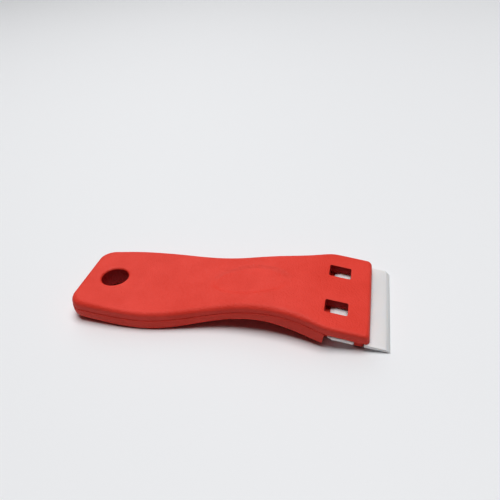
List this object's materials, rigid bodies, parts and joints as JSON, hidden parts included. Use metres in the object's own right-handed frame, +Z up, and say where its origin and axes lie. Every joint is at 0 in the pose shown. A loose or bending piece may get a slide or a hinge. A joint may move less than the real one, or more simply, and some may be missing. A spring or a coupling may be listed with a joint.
{
  "type": "glass scraper",
  "caption": "Flat hand scraper with a waisted, arched plastic handle in two shells that swing apart at the hanging hole, and a flat double-edged plastic blade held across its head.",
  "frame": {"origin": "centre of the bounding box's base, on the surface that the scraper lies on", "axes": "+X from the hanging hole to the blade's edge, +Y to the left of the blade, +Z up through the thin direction"},
  "size_m": [0.1062, 0.0386, 0.0105],
  "materials": {
    "red_plastic": "fine moulded texture, satin to matte",
    "white_plastic": "smooth, slightly translucent"
  },
  "bodies": {
    "lower_half": {"lower_half": "red_plastic", "blade": "white_plastic"},
    "upper_half": {"upper_half": "red_plastic"}
  },
  "joints": [
    {"name": "half_swing", "type": "hinge", "parent": "lower_half", "child": "upper_half", "pos_m": [-0.04183, 0, 0.0044], "axis": [0.0523, 0, 0.9986], "range_deg": [0, 40]}
  ]
}
